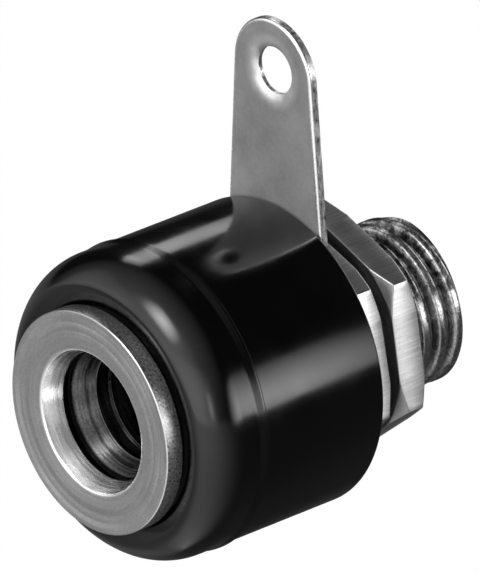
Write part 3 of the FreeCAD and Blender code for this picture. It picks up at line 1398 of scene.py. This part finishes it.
@dataclass
class Studio:
    """Plain pale floor, white surroundings and the soft lamps.

    The camera sees floor and surroundings white. Metal sees them white in front of the socket
    and dark behind it, like a sweep that is lit from the front.
    """

    floor_half: float = 3.0
    floor_steps: int = 8
    floor_drop: float = 12.0
    floor_tone: float = 0.10
    floor_lift: float = 0.94
    glows: tuple[Glow, ...] = (Glow(36, 1.25, 2.6), Glow(-58, 0.36, 2.5))
    glow_reach: tuple[float, float] = (8.0, 60.0)
    near_share: float = 0.75
    dome_towards: tuple[float, float, float] = (0.0, -0.90, 0.44)
    dome: tuple[float, float] = (0.015, 1.0)
    ambient: float = 0.08
    lamps: tuple[Lamp, ...] = (
        Lamp("top_front_box", 6, 55, 0.18, 0.13, 11.5, fade_deg=18.0, lean_deg=34.0),
        Lamp("right_box", 120, 3, 0.30, 0.20, 6.5, fade_deg=22.0),
        Lamp("left_strip", -127, 34, 0.06, 0.15, 3.8, fade_deg=20.0, lean_deg=35.0),
        Lamp("front_wall", 4, 20, 0.90, 0.90, 1.1, fade_deg=52.0),
        Lamp("right_wall", 42, 8, 0.32, 0.28, 1.2, fade_deg=36.0),
        Lamp("left_wall", -55, 20, 0.26, 0.30, 0.8, fade_deg=34.0),
        Lamp("slim_box", 60, 9, 0.04, 0.09, 2.4, fade_deg=18.0),
        Lamp("back_box", 180, 14, 0.28, 0.24, 3.2, fade_deg=30.0),
    )

    def floor(self) -> None:
        """Lay the floor, which keeps the object's shadow."""
        low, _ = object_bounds()
        made = bmesh.new()
        steps = self.floor_steps
        bmesh.ops.create_grid(made, x_segments=steps, y_segments=steps, size=self.floor_half)
        mesh = bpy.data.meshes.new("floor")
        made.to_mesh(mesh)
        made.free()
        item = put("floor", mesh)
        item.location.z = low.z - self.floor_drop * MM
        sheet = ShaderSheet("pale_floor")
        tone = (self.floor_tone, self.floor_tone, self.floor_tone, 1)
        plain = sheet.node("ShaderNodeBsdfDiffuse", {0: tone}).outputs[0]
        way = sheet.vector("NORMALIZE", sheet.place)
        far = sheet.vector("LENGTH", sheet.place, output="Value")
        glow = sheet.math("ADD", *(light.shine(sheet, way) for light in self.glows))
        glow = sheet.times(glow, sheet.remap(far, self.glow_reach, (self.near_share, 1.0)))
        camera, mirrored = sheet.rays()
        lift = sheet.math("MULTIPLY_ADD", camera, self.floor_lift, sheet.times(mirrored, glow))
        bright = sheet.node("ShaderNodeEmission", {"Strength": lift}).outputs[0]
        both = sheet.node("ShaderNodeAddShader", {0: plain, 1: bright}).outputs[0]
        sheet.node("ShaderNodeOutputMaterial", {0: both})
        mesh.materials.append(sheet.material)
        item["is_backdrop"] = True

    def surroundings(self) -> None:
        """Set a pale dome, brightest in front, and a white view for the camera."""
        world = bpy.data.worlds.new("studio")
        bpy.context.scene.world = world
        world.use_nodes = True
        sheet = NodeSheet(world.node_tree)
        sheet.tree.nodes.clear()
        way = sheet.node("ShaderNodeTexCoord").outputs["Generated"]
        front = sheet.vector("DOT_PRODUCT", way, self.dome_towards, output="Value")
        dome = sheet.remap(front, (0.0, 1.0), self.dome)
        camera, mirrored = sheet.rays()
        plain = sheet.times(sheet.math("SUBTRACT", 1.0, mirrored), self.ambient)
        strength = sheet.math("MAXIMUM", sheet.math("ADD", sheet.times(mirrored, dome), plain), camera)
        back = sheet.node("ShaderNodeBackground", {"Color": (1, 1, 1, 1), "Strength": strength}).outputs[0]
        sheet.node("ShaderNodeOutputWorld", {0: back})

    def build(self) -> None:
        """Set the whole studio."""
        low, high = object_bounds()
        self.floor()
        self.surroundings()
        for lamp in self.lamps:
            lamp.build((low + high) / 2)
        bpy.context.scene.view_settings.view_transform = "Standard"


@dataclass(frozen=True)
class PhotoCamera:
    """The photograph's camera: a long lens, turned and tilted as measured.

    Attributes:
        azimuth_deg: Turn round the object, 0 looking along +Y.
        elevation_deg: Height above the horizon.
        roll_deg: Tilt of the frame.
        lens: Focal length in millimetres.
        sensor_width: Width of the sensor in millimetres.
        view_height: Height of the frame at the object, in millimetres.
        centre_right: How far the frame's centre lies right of the head's centre.
        centre_up: How far it lies above it.
        centre_back: How far it lies behind it.
        clip: Nearest and farthest distance that it sees, in metres.
    """

    azimuth_deg: float = 48.8
    elevation_deg: float = 24.95
    roll_deg: float = -1.1
    lens: float = 1200.0
    sensor_width: float = 36.0
    view_height: float = 19.536
    centre_right: float = 5.111
    centre_up: float = 4.633
    centre_back: float = 3.9
    clip: tuple[float, float] = (0.05, 20.0)

    def build(self) -> None:
        """Make the camera and hand it to the scene."""
        roll = math.radians(self.roll_deg)
        back = bearing(self.azimuth_deg, self.elevation_deg)
        level = bearing(self.azimuth_deg + 90)
        upright = back.cross(level)
        right = level * math.cos(roll) + upright * math.sin(roll)
        up = upright * math.cos(roll) - level * math.sin(roll)
        head = Vector((0, box_mm("socket_sleeve")[0].y, 0))
        target = head + right * self.centre_right + up * self.centre_up - back * self.centre_back
        data = bpy.data.cameras.new("photo_camera")
        data.lens, data.sensor_width = self.lens, self.sensor_width
        data.clip_start, data.clip_end = self.clip
        distance = self.view_height * self.lens / data.sensor_width
        item = put("photo_camera", data)
        place = Matrix((right, up, back)).transposed().to_4x4()
        place.translation = (target + back * distance) * MM
        item.matrix_world = place
        bpy.context.scene.camera = item


def main() -> None:
    """Build every piece, then the studio and the camera."""
    logging.basicConfig(level=logging.INFO, format="%(name)s: %(message)s")
    pieces = (
        Sleeve("socket_sleeve", "sleeve", "plated_brass"),
        Collar("front_collar", "sleeve", "black_plastic"),
        Bush("rear_bush", "bush", "black_plastic"),
        Lug("solder_lug", "lug", "tinned_sheet"),
        HexNut("front_nut", "front_nut", "plated_nut", corner_deg=41.0),
        HexNut("rear_nut", "rear_nut", "plated_nut", corner_deg=39.0),
    )
    for piece in pieces:
        made = piece.build()
        LOG.info("%s: %d vertices, %d faces", made.name, len(made.data.vertices), len(made.data.polygons))
    Studio().build()
    PhotoCamera().build()


if __name__ == "__main__":
    main()
